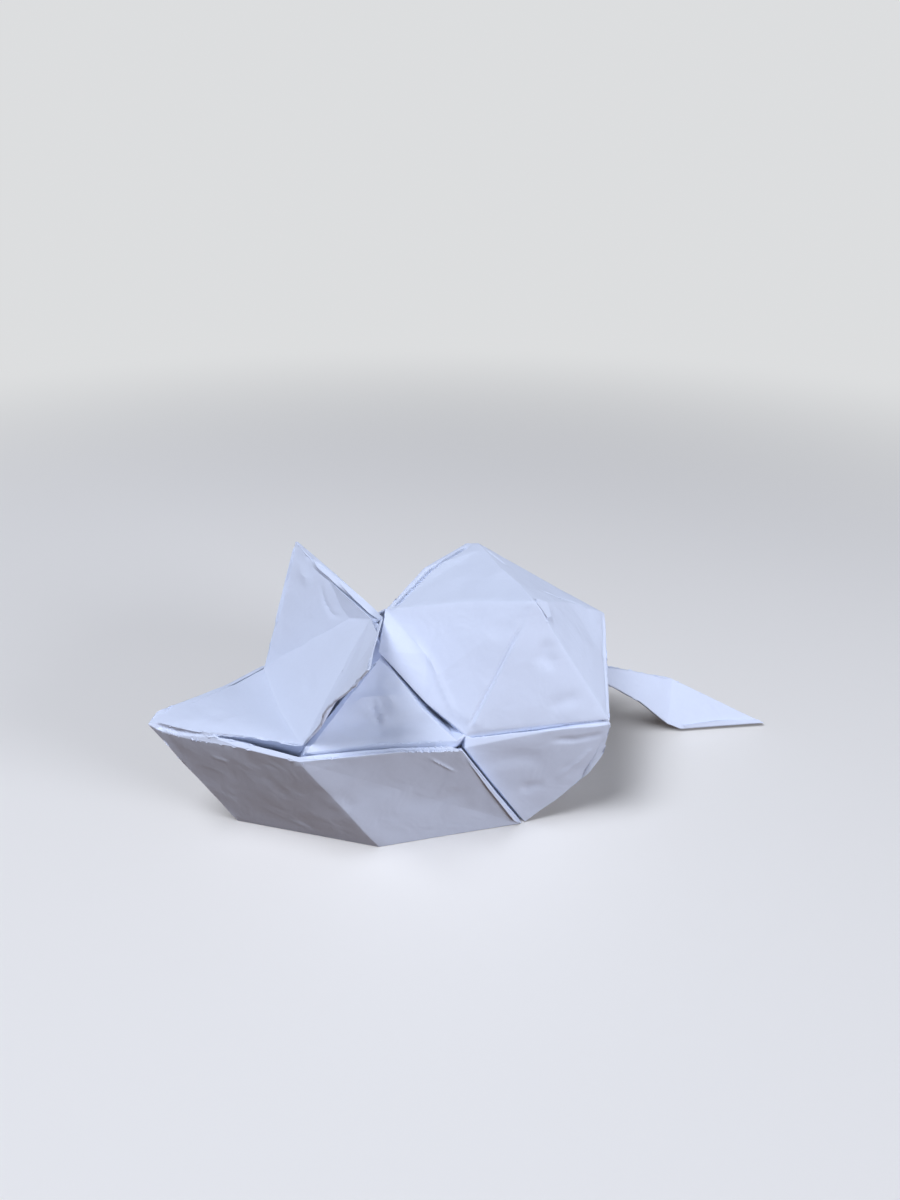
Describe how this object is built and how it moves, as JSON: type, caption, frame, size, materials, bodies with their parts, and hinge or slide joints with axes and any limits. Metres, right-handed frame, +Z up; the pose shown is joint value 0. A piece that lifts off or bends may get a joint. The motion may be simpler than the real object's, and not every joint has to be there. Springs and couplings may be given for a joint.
{
  "type": "origami mouse",
  "caption": "Folded paper mouse with a faceted body, pointed snout, two raised ears and a flat tail, resting on its flat underside.",
  "frame": {"origin": "middle of the resting face, in the mirror plane of the body", "axes": "+X towards the tail, +Z up, -Y towards the mouse's left side"},
  "size_m": [0.1597, 0.0648, 0.0564],
  "materials": {
    "paper": "matte"
  },
  "bodies": {
    "root": {"folded_mouse": "paper"}
  },
  "joints": []
}
